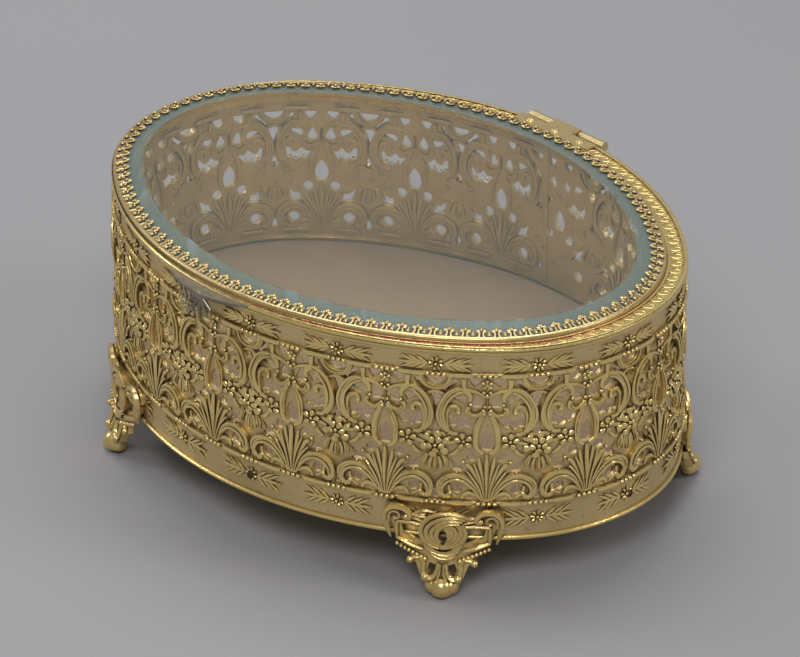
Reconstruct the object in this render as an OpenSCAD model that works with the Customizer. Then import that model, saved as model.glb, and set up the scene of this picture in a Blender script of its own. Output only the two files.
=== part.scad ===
// Oval glass casket box: a pierced filigree wall on four cast feet, closed by
// a hinged lid that holds a bevelled oval glass inside a crown gallery.
// Units are millimetres. The origin is on the floor under the middle of the
// oval, +Z up, +X along the oval's length, and the front with the thumb tab
// faces -Y.

/* [Oval] */
// Length of the wall, outside
wall_length = 179.6; // [168:0.2:192]
// Width of the wall, outside
wall_width = 133.4; // [126:0.2:140]

/* [Wall] */
// Height of the wall's lower edge above the floor
wall_base = 17.2; // [15:0.1:20]
// Height of the pierced strip
wall_height = 55.3; // [55:0.1:60]
// Thickness of the strip
wall_thick = 1.2; // [1:0.1:1.6]
// Width of one repeat of the pierced pattern
panel_pitch = 27; // [26:0.1:32]
// Distance of the seam from the middle of the back, towards the left end
seam_shift = 6; // [-12:0.5:12]
// Distance from the seam to the first almond window
seam_lead = 16; // [10:0.1:20]
// Distance from the last almond window to the seam
seam_tail = 5.5; // [2.5:0.1:10]
// Height of the lower bead line above the wall's lower edge
low_bead_height = 10; // [9.5:0.1:10.4]
// Height of the upper bead line above the wall's lower edge
high_bead_height = 49.2; // [49:0.1:52]
// Radius of both bead lines
bead_radius = 0.55; // [0.4:0.05:0.8]

/* [Rims and floor] */
// Height of the rim under the wall
low_rim_height = 1.2; // [0.8:0.1:2]
// How far the low rim stands out of the wall
low_rim_reach = 0.9; // [0.5:0.1:1.4]
// How far the low rim's ledge runs in under the base plate
low_rim_ledge = 4; // [3:0.1:6]
// Height of the rim on top of the wall
top_rim_height = 1.2; // [0.8:0.1:2]
// How far the top rim stands out of the wall
top_rim_reach = 0.7; // [0.4:0.1:0.9]
// Height of the top rim's skirt inside the wall
top_rim_skirt = 3.6; // [2:0.1:5]
// Thickness of the base plate and of its flange
base_thick = 0.8; // [0.6:0.1:1.2]
// Height of the base plate's flange
base_flange = 7; // [6.6:0.1:9]
// Thickness of the card board under the pad
board_thick = 1.6; // [1:0.1:2]
// Thickness of the floor pad
pad_thick = 6.6; // [5:0.1:8]
// Gap all round the board and the pad
lining_gap = 0.3; // [0.2:0.05:1]
// Radius of a base rivet
rivet_radius = 0.9; // [0.7:0.05:1.2]
// Radius of a base rivet's head
rivet_head = 1.5; // [1.3:0.05:2]
// Height of a base rivet's head over the surface
rivet_head_height = 0.6; // [0.4:0.05:1]

/* [Feet] */
// Direction in which the two right feet face, away from the long axis
facing_right = 53; // [52:0.5:62]
// Direction in which the two left feet face, away from the long axis
facing_left = 61; // [52:0.5:62]
// Height of a foot over the floor
foot_height = 26.2; // [25.4:0.1:26.6]
// Width of a foot across its two volutes
foot_width = 32.6; // [31:0.1:34]
// Thickness of a foot's plate
foot_thick = 1.8; // [1.4:0.1:2.4]
// How far the toe swings out from the wall
toe_reach = 4.6; // [3.5:0.1:6]
// Radius of the toe ball
toe_radius = 3.2; // [2.8:0.1:3.6]
// Height of the flat that is worn under the toe ball
toe_flat = 0.25; // [0.1:0.05:0.5]
// Radius of the knot in the middle of a foot
knot_radius = 6; // [5.4:0.1:6.4]
// Height of the knot over the foot's plate
knot_rise = 1.2; // [0.8:0.1:1.6]

/* [Lid] */
// Gap between the lid and the top rim
lid_gap = 0.1; // [0.05:0.05:0.3]
// Thickness of the lid frame
frame_thick = 1.1; // [0.9:0.1:1.6]
// How far the lid frame reaches out over the wall
frame_reach = 1.3; // [1.2:0.1:1.8]
// How far the frame's seat runs in under the glass from the gallery's outer face
frame_seat = 5.6; // [5.3:0.1:7]
// Thickness of the red gasket
gasket_thick = 0.3; // [0.2:0.05:0.6]
// Width of the gasket
gasket_width = 4.8; // [4:0.1:5]
// How far the gasket lies to the right of the gallery
gasket_shift = 0.6; // [0:0.1:0.6]
// How far the gallery's outer face lies inside the wall line
gallery_inset = 1.9; // [1.9:0.1:3]
// Thickness of the gallery strip
gallery_thick = 0.5; // [0.4:0.05:0.6]
// Height of the gallery's plain band
gallery_band = 1; // [0.9:0.05:1.2]
// How far the crowns lean in over the glass
crown_reach = 4.8; // [4.2:0.1:5.2]
// Height of the crowns' tips over the gallery's foot
crown_rise = 2.2; // [2.15:0.05:2.6]
// Distance from one crown to the next
crown_pitch = 4.4; // [4.2:0.05:6]
// Radius of one crown
crown_half = 1.35; // [1.2:0.05:1.5]
// Shift of glass and gallery to the right within the frame
glass_shift_x = -1.8; // [-2:0.1:2]
// Shift of glass and gallery to the back within the frame
glass_shift_y = -1.9; // [-1.9:0.1:1.5]
// Gap between the glass and the gallery
glass_gap = 0.15; // [0.1:0.05:0.3]
// Thickness of the glass
glass_thick = 2.2; // [1.8:0.1:2.2]
// Thickness of the glass at its bevelled edge
glass_edge = 0.7; // [0.5:0.05:0.7]
// Width of the bevel
bevel_width = 8; // [7.5:0.5:10]

/* [Hinge and tab] */
// Length of the hinge along its pin
hinge_length = 28.8; // [24:0.4:32]
// How far the hinge's middle lies to the right of the middle of the back
hinge_shift = -2.5; // [-4:0.5:4]
// Distance of the hinge axis behind the wall
axis_reach = 3.8; // [3.7:0.1:4.4]
// Radius of the hinge knuckles
knuckle_radius = 1.5; // [1.3:0.05:1.6]
// Radius of the hinge pin
pin_radius = 0.6; // [0.5:0.05:0.8]
// Clearance between the pin and its knuckles
pin_clearance = 0.05; // [0.02:0.01:0.08]
// Clearance between neighbouring knuckles
knuckle_gap = 0.15; // [0.1:0.05:0.3]
// Thickness of the hinge leaves
leaf_thick = 0.8; // [0.6:0.1:1]
// Height of the body leaf
body_leaf_height = 8; // [7:0.1:9]
// Depth of the lid leaf
lid_leaf_depth = 3.9; // [3.4:0.1:4]
// Radius of a hinge rivet
leaf_rivet = 0.6; // [0.5:0.05:0.7]
// Length of the thumb tab along the lid
tab_length = 28; // [24:0.5:32]
// How far the thumb tab's middle lies to the right of the front centre
tab_shift = -3.5; // [-6:0.5:6]
// How far the thumb tab reaches out from the lid's edge
tab_reach = 4; // [3:0.1:4.2]
// Thickness of the thumb tab
tab_thick = 0.9; // [0.7:0.1:1]
// Length of the longest leaf that hangs from the thumb tab
tab_leaf = 8; // [6:0.1:9]

/* [Hidden] */
$fn = 96;
// The four arcs of the oval: 20, 21 and 29 are the sides of a right triangle,
// so that the centres and radii come out as whole decimals and the arcs meet
oval_unit = (wall_length - wall_width) / 24;
end_centre = 20 * oval_unit;
side_centre = 21 * oval_unit;
end_radius = wall_length / 2 - end_centre;
side_radius = end_radius + 29 * oval_unit;
half_width = wall_width / 2;
// Direction, seen from an end's centre, in which the end meets the side
join_angle = atan2(21, 20);
side_length = side_radius * (180 - 2 * join_angle) * PI / 180;
end_length = end_radius * 2 * join_angle * PI / 180;
round_length = 2 * side_length + 2 * end_length;
wall_top = wall_base + wall_height;
rim_top = wall_top + top_rim_height;
lid_base = rim_top + lid_gap;
frame_top = lid_base + frame_thick;
gallery_base = frame_top + gasket_thick;
axis_y = half_width + axis_reach;
axis_z = rim_top + lid_gap / 2;
panels = 1 + floor((round_length - seam_lead - seam_tail) / panel_pitch);
pitch = (round_length - seam_lead - seam_tail) / (panels - 1);
knuckle_length = (hinge_length - 2 * knuckle_gap) / 3;
overlap = 0.2;
seam_edge = 0.8;
foot_seat_gap = 0.1;
base_rivet_faces = [0, 84, 180, 276];
base_rivet_height = wall_base + 5;
brass = "#a8873f";

// Which way the wall faces at a distance, counter-clockwise from the back
function facing(way) =
    let (t = way - floor(way / round_length) * round_length,
        a = side_length / 2, b = a + end_length, c = b + side_length, d = c + end_length)
    t < a ? 90 + t / side_radius * 180 / PI
    : t < b ? 180 - join_angle + (t - a) / end_radius * 180 / PI
    : t < c ? 180 + join_angle + (t - b) / side_radius * 180 / PI
    : t < d ? 360 - join_angle + (t - c) / end_radius * 180 / PI
    : 360 + join_angle + (t - d) / side_radius * 180 / PI;

// The point of the wall line that faces in a given direction
function wall_point(face) =
    abs(cos(face)) >= cos(join_angle)
    ? [sign(cos(face)) * end_centre + end_radius * cos(face), end_radius * sin(face), 0]
    : [side_radius * cos(face), side_radius * sin(face) - sign(sin(face)) * side_centre, 0];

// Points of a rounded edge that stands out from x, for the outline of a profile
function swell(x, low, high, reach) = [for (a = [-90:30:90])
    [x + reach * cos(a), (low + high) / 2 + (high - low) / 2 * sin(a)]];

// Puts its children on the wall: their +X points outwards and +Z up
module on_wall(face) {
    translate(wall_point(face)) rotate([0, 0, face]) children();
}

// The sectors of the oval's plan that its ends and its sides take up, each seen
// from the centre of its arc: they meet on the line through both centres
module end_sector() {
    translate([0, 0, -wall_top]) linear_extrude(3 * wall_top)
        polygon([[0, 0], [200, -210], [400, 0], [200, 210]]);
}
module side_sector() {
    translate([0, 0, -wall_top]) linear_extrude(3 * wall_top)
        polygon([[0, 0], [200, 210], [0, 420], [-200, 210]]);
}

// Sweeps a profile round the oval: x is the distance outside the wall line
module oval_sweep() {
    for (turn = [0, 180]) rotate([0, 0, turn]) {
        translate([end_centre, 0, 0]) intersection() {
            rotate([0, 0, -90]) rotate_extrude(angle = 180) translate([end_radius, 0]) children();
            end_sector();
        }
        translate([0, -side_centre, 0]) intersection() {
            rotate_extrude(angle = 180) translate([side_radius, 0]) children();
            side_sector();
        }
    }
}

// A flat oval whose edge lies a given distance outside the wall line
module oval_plate(reach, low, thick) {
    for (turn = [0, 180]) rotate([0, 0, turn]) {
        translate([end_centre, 0, 0]) intersection() {
            translate([0, 0, low]) cylinder(r = end_radius + reach, h = thick);
            end_sector();
        }
        translate([0, -side_centre, 0]) intersection() {
            translate([0, 0, low]) cylinder(r = side_radius + reach, h = thick);
            side_sector();
        }
    }
}

// Stands a flat drawing up on the wall and gives it depth across the wall
module through_wall(inside, outside) {
    translate([-inside, 0, 0]) rotate([90, 0, 90]) linear_extrude(inside + outside) children();
}

// The windows on the axis of a palmette, drawn over the wall's lower edge
module palmette_windows() {
    // almond
    intersection() {
        translate([3.15, 28.6]) circle(r = 5.1, $fn = 32);
        translate([-3.15, 28.6]) circle(r = 5.1, $fn = 32);
        translate([-4, 26.1]) square([8, 8]);
    }
    for (flip = [0, 1]) mirror([flip, 0]) {
        // beside the palmette's tip
        translate([3.9, 24.2]) circle(r = 1.45, $fn = 24);
        // inside the lower scroll
        translate([8, 14.2]) circle(r = 1.6, $fn = 24);
        // between palmette, scroll and rose leaves
        polygon([[9.9, 23.5], [8.9, 20.8], [9.7, 19.6], [6.8, 19.4], [4.9, 18.4],
            [6.2, 20.4], [6.4, 22], [7.8, 22]]);
        // inside the upper scroll
        polygon([[10.5, 36.6], [9.3, 36.8], [8.3, 35.2], [7.2, 35.3], [5.8, 36.6], [4.5, 35.3],
            [2.4, 35.4], [3.9, 33.9], [4.5, 32.8], [6, 33.2], [7.4, 31.9], [8.3, 33.2], [9.9, 33.2]]);
        // over the bead cluster
        polygon([[2.6, 43.1], [1.1, 40.4], [1.4, 39.2], [3.9, 39.2], [4, 40.7]]);
        // under the upper scroll's crest
        polygon([[9.7, 41.9], [8.3, 42.6], [5.8, 42.4], [5.2, 41.3], [6, 39.9], [7.4, 40.7]]);
        // under the upper bead line
        polygon([[4.9, 48.2], [1.4, 48.2], [1.8, 46.7], [3.5, 45.4], [4.5, 46.5]]);
    }
}

// The windows on the axis between two palmettes
module rose_windows() {
    intersection() {
        translate([0, 48.7]) circle(r = 3, $fn = 32);
        translate([-4, 45]) square([8, 3.2]);
    }
    for (flip = [0, 1]) mirror([flip, 0]) intersection() {
        difference() {
            translate([0, 49.2]) circle(r = 6.3, $fn = 48);
            translate([0, 49.2]) circle(r = 5, $fn = 48);
        }
        polygon([[0, 49.2], [2.6, 42], [7, 42], [8, 46.6]]);
    }
    polygon([[-1.9, 42.9], [0, 43.3], [1.9, 42.9], [1.4, 41.2], [0, 38.4], [-1.4, 41.2]]);
    polygon([[0, 34.1], [1.5, 30.8], [0.6, 30.4], [-0.6, 30.4], [-1.5, 30.8]]);
    polygon([[-0.5, 13.7], [0.5, 13.7], [0.9, 10.9], [-0.9, 10.9]]);
}

// Keeps only what lies left or right of the seam
module clip_at_seam(low, high) {
    intersection() {
        children();
        translate([low, 0]) square([high - low, wall_height]);
    }
}

// The pierced strip, its ends meeting at the back
module filigree_wall() {
    color(brass) translate([0, 0, wall_base]) difference() {
        oval_sweep() polygon(concat([[-wall_thick, 0], [0, 0]],
            swell(0, low_bead_height - bead_radius, low_bead_height + bead_radius, bead_radius),
            swell(0, high_bead_height - bead_radius, high_bead_height + bead_radius, bead_radius),
            [[0, wall_height], [-wall_thick, wall_height]]));
        for (step = [0:panels - 1]) {
            way = seam_lead + step * pitch;
            on_wall(facing(seam_shift + way)) through_wall(wall_thick + 1, 1)
                clip_at_seam(-way, step == panels - 1 ? seam_tail - seam_edge : pitch)
                palmette_windows();
            on_wall(facing(seam_shift + way - pitch / 2)) through_wall(wall_thick + 1, 1)
                clip_at_seam(step == 0 ? pitch / 2 - way + seam_edge : -pitch, pitch)
                rose_windows();
        }
        for (face = base_rivet_faces) on_wall(face) translate([0, 0, base_rivet_height - wall_base])
            rotate([0, 90, 0]) cylinder(r = rivet_radius, h = 3 * wall_thick, center = true, $fn = 24);
    }
}

// The ledged rim that carries the wall and the base plate
module lower_rim() {
    half = low_rim_height / 2;
    low = wall_base - low_rim_height;
    color(brass) oval_sweep() polygon(concat([[-low_rim_ledge, low]],
        swell(low_rim_reach - half, low, wall_base, half), [[-low_rim_ledge, wall_base]]));
}

// The rim on top of the wall, with its skirt inside
module upper_rim() {
    half = top_rim_height / 2;
    inner = -wall_thick - base_thick;
    color(brass) oval_sweep() polygon(concat(
        [[inner, wall_top - top_rim_skirt], [-wall_thick, wall_top - top_rim_skirt],
            [-wall_thick, wall_top]],
        swell(top_rim_reach - half, wall_top, rim_top, half), [[inner, rim_top]]));
}

// The bottom of the box: a tray with a flange that is riveted to the wall
module base_plate() {
    color(brass) difference() {
        union() {
            oval_plate(-wall_thick, wall_base, base_thick);
            oval_sweep() translate([-wall_thick - base_thick, wall_base])
                square([base_thick, base_flange + base_thick]);
        }
        for (face = base_rivet_faces) on_wall(face) translate([-wall_thick, 0, base_rivet_height])
            rotate([0, 90, 0]) cylinder(r = rivet_radius, h = 3 * wall_thick, center = true, $fn = 24);
    }
}

// The rivets that hold the base plate's flange to the wall
module base_rivets() {
    color("#4a3a22") for (face = base_rivet_faces) on_wall(face) translate([0, 0, base_rivet_height])
        rotate([0, 90, 0]) {
            translate([0, 0, -wall_thick - base_thick])
                cylinder(r = rivet_radius, h = wall_thick + base_thick + overlap, $fn = 24);
            cylinder(r1 = rivet_head, r2 = rivet_head * 0.6, h = rivet_head_height, $fn = 24);
        }
}

// The card board that stiffens the lining
module floor_board() {
    color("#b59b74") oval_plate(-wall_thick - base_thick - lining_gap, wall_base + base_thick,
        board_thick);
}

// The fabric-covered pad that shows as the floor of the box
module floor_pad() {
    color("#8d7d68") oval_plate(-wall_thick - base_thick - lining_gap,
        wall_base + base_thick + board_thick, pad_thick);
}

// Outline of a foot: across the wall and over the floor
module foot_outline() {
    half = foot_width / 2;
    volute = 2.7;
    shoulder = foot_height - 9.5;
    translate([0, foot_height - knot_radius - 2.2]) circle(r = knot_radius, $fn = 48);
    for (flip = [0, 1]) mirror([flip, 0]) {
        translate([half - volute, foot_height - volute]) circle(r = volute, $fn = 32);
        polygon([[0, foot_height - 4.2], [half - 3, foot_height - 4.2], [half - 1.2, foot_height - 3],
            [half - 3.2, shoulder], [3.4, 9.6], [0, 9.6]]);
        polygon([[4, 10.5], [8.8, 11.6], [9.4, 9.8], [7.2, 9.6], [5.4, 5], [2.6, 3.4], [0, 3.4],
            [0, 9.7]]);
    }
}

// The four openings and the slit of a foot
module foot_openings() {
    for (flip = [0, 1]) mirror([flip, 0]) {
        polygon([[knot_radius + 0.6, foot_height - 6.2], [foot_width / 2 - 4.8, foot_height - 6.2],
            [foot_width / 2 - 5.4, foot_height - 9], [knot_radius, foot_height - 10.6]]);
        polygon([[1.2, 7], [1.4, 9.2], [3.4, 9.9], [4.2, 8], [3.2, 6.4]]);
    }
    intersection() {
        translate([2.2, foot_height - knot_radius - 2.6]) circle(r = 3.4, $fn = 32);
        translate([-2.2, foot_height - knot_radius - 2.6]) circle(r = 3.4, $fn = 32);
    }
}

// How a foot swings out below the wall
module foot_curve(rise) {
    gap = foot_seat_gap;
    polygon([[gap + low_rim_reach, wall_base - low_rim_height - 1],
        [gap + low_rim_reach, wall_base], [gap, wall_base + 0.9], [gap, foot_height + 2],
        [gap + foot_thick + rise, foot_height + 2], [gap + foot_thick + rise, wall_base - 2],
        [toe_reach + foot_thick / 2 + rise, toe_radius],
        [toe_reach - foot_thick, toe_radius - 1]]);
}

// Sweeps a profile along the long side of the oval, past where a foot stands
module side_sweep(face) {
    reach = 24;
    translate([0, -sign(sin(face)) * side_centre, 0]) rotate([0, 0, face - reach / 2])
        rotate_extrude(angle = reach) translate([side_radius, 0]) children();
}

// A cast foot: a pierced plate that follows the wall, ending in a ball
module foot(face) {
    color(brass) {
        intersection() {
            side_sweep(face) foot_curve(0);
            on_wall(face) through_wall(8, 12) difference() {
                foot_outline();
                foot_openings();
            }
        }
        intersection() {
            side_sweep(face) foot_curve(knot_rise);
            on_wall(face) through_wall(8, 12) {
                difference() {
                    translate([0, foot_height - knot_radius - 2.2]) circle(r = knot_radius, $fn = 48);
                    translate([0, foot_height - knot_radius - 2.2]) circle(r = knot_radius - 1.3, $fn = 48);
                }
                difference() {
                    translate([0, foot_height - knot_radius - 2.2]) circle(r = knot_radius - 2, $fn = 48);
                    foot_openings();
                }
            }
        }
        intersection() {
            on_wall(face) {
                translate([toe_reach, 0, toe_radius - toe_flat]) sphere(r = toe_radius, $fn = 48);
                for (side = [-1, 1]) translate([toe_reach - 0.6, side * toe_radius * 0.75, toe_radius])
                    sphere(r = toe_radius * 0.72, $fn = 48);
            }
            translate([-wall_length, -wall_width, 0]) cube([2 * wall_length, 2 * wall_width, 20]);
        }
    }
}
module foot_front_left() { foot(180 + facing_left); }
module foot_front_right() { foot(-facing_right); }
module foot_rear_left() { foot(180 - facing_left); }
module foot_rear_right() { foot(facing_right); }

// A barrel along the hinge axis
module barrel(middle, length, radius) {
    translate([hinge_shift + middle - length / 2, axis_y, axis_z]) rotate([0, 90, 0])
        cylinder(r = radius, h = length, $fn = 48);
}

// The leaf riveted to the back of the wall, with the two outer knuckles
module body_hinge_leaf() {
    step = knuckle_length + knuckle_gap;
    color(brass) difference() {
        union() {
            intersection() {
                oval_sweep() translate([0, wall_top - body_leaf_height])
                    square([leaf_thick, body_leaf_height]);
                translate([hinge_shift - hinge_length / 2, 0, 0])
                    cube([hinge_length, wall_width, 2 * wall_top]);
            }
            for (side = [-1, 1]) {
                barrel(side * step, knuckle_length, knuckle_radius);
                translate([hinge_shift + side * step - knuckle_length / 2, half_width - 0.6,
                    wall_top - leaf_thick]) cube([knuckle_length, axis_reach + 0.6, leaf_thick]);
            }
        }
        translate([0, 0, wall_base]) oval_sweep() polygon(concat([[-20, 0], [0, 0]],
            swell(0, high_bead_height - bead_radius, high_bead_height + bead_radius, bead_radius),
            [[0, wall_height], [-20, wall_height]]));
        barrel(0, 2 * hinge_length, pin_radius + pin_clearance);
        body_leaf_holes();
    }
}

// Where the body leaf's rivets stand
module body_leaf_places() {
    for (x = [-hinge_length / 3, 0, hinge_length / 3])
        on_wall(90 - asin((hinge_shift + x) / side_radius)) translate([0, 0, wall_top - body_leaf_height * 0.62])
            rotate([0, 90, 0]) children();
}
module body_leaf_holes() {
    body_leaf_places() cylinder(r = leaf_rivet, h = 4, center = true, $fn = 24);
}

// The rivets of the body leaf
module body_leaf_rivets() {
    color(brass) body_leaf_places() translate([0, 0, leaf_thick])
        cylinder(r1 = leaf_rivet * 2, r2 = leaf_rivet * 1.2, h = leaf_rivet, $fn = 24);
    color(brass) body_leaf_places() cylinder(r = leaf_rivet, h = leaf_thick + overlap, $fn = 24);
}

// The leaf on the lid frame, with the middle knuckle
module lid_hinge_leaf() {
    back = half_width + frame_reach - 1;
    color(brass) difference() {
        union() {
            translate([hinge_shift - hinge_length / 2, back - lid_leaf_depth, frame_top])
                cube([hinge_length, lid_leaf_depth, leaf_thick]);
            translate([hinge_shift - knuckle_length / 2, back - 1, frame_top])
                cube([knuckle_length, axis_y - back + 1, leaf_thick]);
            translate([hinge_shift - knuckle_length / 2, axis_y - leaf_thick, axis_z])
                cube([knuckle_length, leaf_thick + 0.6, frame_top + leaf_thick - axis_z]);
            barrel(0, knuckle_length, knuckle_radius);
        }
        barrel(0, 2 * hinge_length, pin_radius + pin_clearance);
        lid_leaf_places() cylinder(r = leaf_rivet, h = 4 * leaf_thick, center = true, $fn = 24);
    }
}

// Where the lid leaf's rivets stand
module lid_leaf_places() {
    for (x = [-hinge_length / 3, 0, hinge_length / 3])
        translate([hinge_shift + x, half_width + frame_reach - 1 - lid_leaf_depth * 0.45, frame_top])
            children();
}

// The rivets of the lid leaf
module lid_leaf_rivets() {
    color(brass) lid_leaf_places() {
        cylinder(r = leaf_rivet, h = leaf_thick + overlap, $fn = 24);
        translate([0, 0, leaf_thick])
            cylinder(r1 = leaf_rivet * 2, r2 = leaf_rivet * 1.2, h = leaf_rivet, $fn = 24);
    }
}

// The pin through the three knuckles
module hinge_pin() {
    color(brass) barrel(0, hinge_length, pin_radius);
}

// The lid frame: a flat oval ring with a rounded outer edge
module lid_frame() {
    half = frame_thick / 2;
    inner = gallery_inset + frame_seat + 4;
    color(brass) difference() {
        oval_sweep() polygon(concat([[-inner, lid_base]],
            swell(frame_reach - half, lid_base, frame_top, half), [[-inner, frame_top]]));
        translate([glass_shift_x, glass_shift_y, 0])
            oval_plate(-gallery_inset - frame_seat, lid_base - 1, frame_thick + 2);
    }
}

// The red gasket under the glass and the gallery
module gasket() {
    color("#8c2a22") translate([glass_shift_x + gasket_shift, glass_shift_y, frame_top])
        oval_sweep() translate([-gallery_inset - gasket_width, 0]) square([gasket_width, gasket_thick]);
}

// The crown gallery: a strip with a row of crowns that lean in over the glass
module gallery() {
    slope = atan((crown_rise - gallery_band - 0.4) / (crown_reach - 0.4));
    ledge = crown_reach - crown_half * 1.6;
    ledge_top = gallery_band + 0.4 + (ledge - 0.4) * tan(slope);
    crowns = floor((round_length - 2 * PI * gallery_inset) / crown_pitch);
    color(brass) translate([glass_shift_x, glass_shift_y, gallery_base]) {
        oval_sweep() translate([-gallery_inset, 0]) polygon([[0, 0], [0, gallery_band],
            [-0.4, gallery_band + 0.4], [-ledge, ledge_top], [-ledge, ledge_top - gallery_thick],
            [-gallery_thick, gallery_band - 0.1], [-gallery_thick, 0]]);
        for (step = [0:crowns - 1]) on_wall(facing((step + 0.5) * round_length / crowns))
            translate([-gallery_inset - crown_reach + crown_half, 0, crown_rise - gallery_thick / 2
                - crown_half * tan(slope)]) rotate([0, slope, 0])
                cylinder(r = crown_half, h = gallery_thick * 0.5, center = true, $fn = 32);
    }
}

// The bevelled oval glass
module glass() {
    edge = -gallery_inset - gallery_thick - glass_gap;
    core = edge - bevel_width;
    color([0.8, 0.9, 0.88, 0.4]) translate([glass_shift_x, glass_shift_y, gallery_base]) {
        oval_plate(core, 0, glass_thick);
        oval_sweep() polygon([[core - overlap, 0], [edge, 0], [edge, glass_edge],
            [core, glass_thick], [core - overlap, glass_thick]]);
    }
}

// The thumb tab: a plain crescent on the lid's edge with a spray of leaves
module thumb_tab() {
    bow = (pow(tab_length / 2, 2) + pow(tab_reach, 2)) / (2 * tab_reach);
    front = half_width + frame_reach;
    color("#9a9788") difference() {
        union() {
            translate([tab_shift, bow - front - tab_reach, lid_base + 0.1])
                cylinder(r = bow, h = tab_thick);
            for (lean = [-50, -25, 0, 25, 50])
                translate([tab_shift, 0.9 - front - tab_reach, lid_base + 0.1 + tab_thick / 2])
                rotate([0, lean, 0]) {
                    translate([0, 0, -tab_leaf + abs(lean) / 20]) {
                        cylinder(r1 = 0.45, r2 = 0.9, h = tab_leaf - abs(lean) / 20, $fn = 24);
                        sphere(r = 0.45, $fn = 24);
                    }
                }
        }
        oval_plate(frame_reach, lid_base - 1, 4);
        translate([-wall_length, 0, 0]) cube([2 * wall_length, wall_length, wall_length]);
    }
}

filigree_wall();
lower_rim();
upper_rim();
base_plate();
base_rivets();
floor_board();
floor_pad();
foot_front_left();
foot_front_right();
foot_rear_left();
foot_rear_right();
body_hinge_leaf();
body_leaf_rivets();
hinge_pin();
lid_frame();
gasket();
gallery();
glass();
lid_hinge_leaf();
lid_leaf_rivets();
thumb_tab();
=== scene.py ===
# %% [markdown]
# # An oval glass casket box
# A gilt brass casket: a pierced wall stamped with scrolls, roses and palmettes, four cast
# feet, and a hinged lid with a bevelled glass in a gallery of little crowns. The packed
# solids are loaded as the frame. They stay where they are, and this lesson lays the
# worked metal on them.

# %% Load the frame
import math
import bpy
import bmesh
import numpy as np
from mathutils import Matrix, Vector


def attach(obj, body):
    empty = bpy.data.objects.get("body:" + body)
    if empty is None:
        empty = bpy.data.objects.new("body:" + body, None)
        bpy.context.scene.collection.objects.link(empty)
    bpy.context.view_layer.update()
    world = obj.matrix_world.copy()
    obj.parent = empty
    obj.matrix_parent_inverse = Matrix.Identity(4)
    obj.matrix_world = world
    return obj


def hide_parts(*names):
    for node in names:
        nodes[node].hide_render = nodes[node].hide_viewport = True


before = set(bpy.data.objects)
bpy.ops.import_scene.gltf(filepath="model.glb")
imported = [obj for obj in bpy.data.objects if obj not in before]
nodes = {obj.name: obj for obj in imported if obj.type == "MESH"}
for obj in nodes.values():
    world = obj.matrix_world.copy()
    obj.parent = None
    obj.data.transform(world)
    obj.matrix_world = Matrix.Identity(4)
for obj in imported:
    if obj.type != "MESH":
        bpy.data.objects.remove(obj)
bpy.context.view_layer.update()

# %% [markdown]
# ## The oval
# The wall runs round an oval of four arcs. A place on it is told by its way round from the
# middle of the back, counter-clockwise, by how far it stands out of the wall line, and by
# its height. Ornament is drawn flat and then bent round with this one rule, so that the
# drawing is easy to read and the metal still hugs the wall.

# %% The oval's sizes in millimetres and the rule that bends a flat drawing
WALL_LENGTH, WALL_WIDTH = 179.6, 133.4
WALL_BASE, WALL_HEIGHT, WALL_THICK = 17.2, 55.3, 1.2
UNIT = (WALL_LENGTH - WALL_WIDTH) / 24
END_CENTRE, SIDE_CENTRE = 20 * UNIT, 21 * UNIT
END_RADIUS = WALL_LENGTH / 2 - END_CENTRE
SIDE_RADIUS = END_RADIUS + 29 * UNIT
JOIN = math.atan2(21, 20)
SIDE = SIDE_RADIUS * (math.pi - 2 * JOIN)
END = END_RADIUS * 2 * JOIN
ROUND = 2 * (SIDE + END)
SEAM, LEAD, TAIL, PANELS = 6.0, 16.0, 5.5, 18
PITCH = (ROUND - LEAD - TAIL) / (PANELS - 1)
FRAME_TOP, LID_SHIFT = 74.9, (-1.8, -1.9)


def on_oval(way, out, height):
    """Places, in millimetres, for arrays of way round, distance out and height."""
    way = np.mod(np.asarray(way, float), ROUND)
    starts = np.cumsum([0, SIDE / 2, END, SIDE, END])
    arc = np.searchsorted(starts, way, side="right") - 1
    first = np.array([math.pi / 2, math.pi - JOIN, math.pi + JOIN, 2 * math.pi - JOIN,
                      2 * math.pi + JOIN])[arc]
    radius = np.array([SIDE_RADIUS, END_RADIUS, SIDE_RADIUS, END_RADIUS, SIDE_RADIUS])[arc]
    x = np.array([0, -END_CENTRE, 0, END_CENTRE, 0])[arc]
    y = np.array([-SIDE_CENTRE, 0, SIDE_CENTRE, 0, -SIDE_CENTRE])[arc]
    face = first + (way - starts[arc]) / radius
    reach = radius + out
    return np.stack([x + reach * np.cos(face), y + reach * np.sin(face),
                     np.broadcast_to(height, way.shape)], axis=1)


print("round", round(ROUND, 2), "pitch", round(PITCH, 3))

# %% [markdown]
# ## The camera
# The photograph looks down on the casket from its front right with a long lens, from
# nearly two metres away.

# %% The camera
bpy.ops.object.camera_add()
camera = bpy.context.object
camera.data.sensor_width = 36
camera.data.lens = 314.45
camera.data.clip_start, camera.data.clip_end = 0.1, 20
back = Vector((0.62518, -0.61845, 0.47609)).normalized()
level = Vector((math.cos(math.radians(45.31)), math.sin(math.radians(45.31)), 0))
level = (level - back * level.dot(back)).normalized()
upright = back.cross(level)
roll = math.radians(0.19)
right = level * math.cos(roll) + upright * math.sin(roll)
upward = upright * math.cos(roll) - level * math.sin(roll)
camera.matrix_world = Matrix.Translation((1.21635, -1.20164, 0.96361)) @ Matrix(
    (right, upward, back)).transposed().to_4x4()
bpy.context.scene.camera = camera
print("camera at", [round(v, 3) for v in camera.location])
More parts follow.
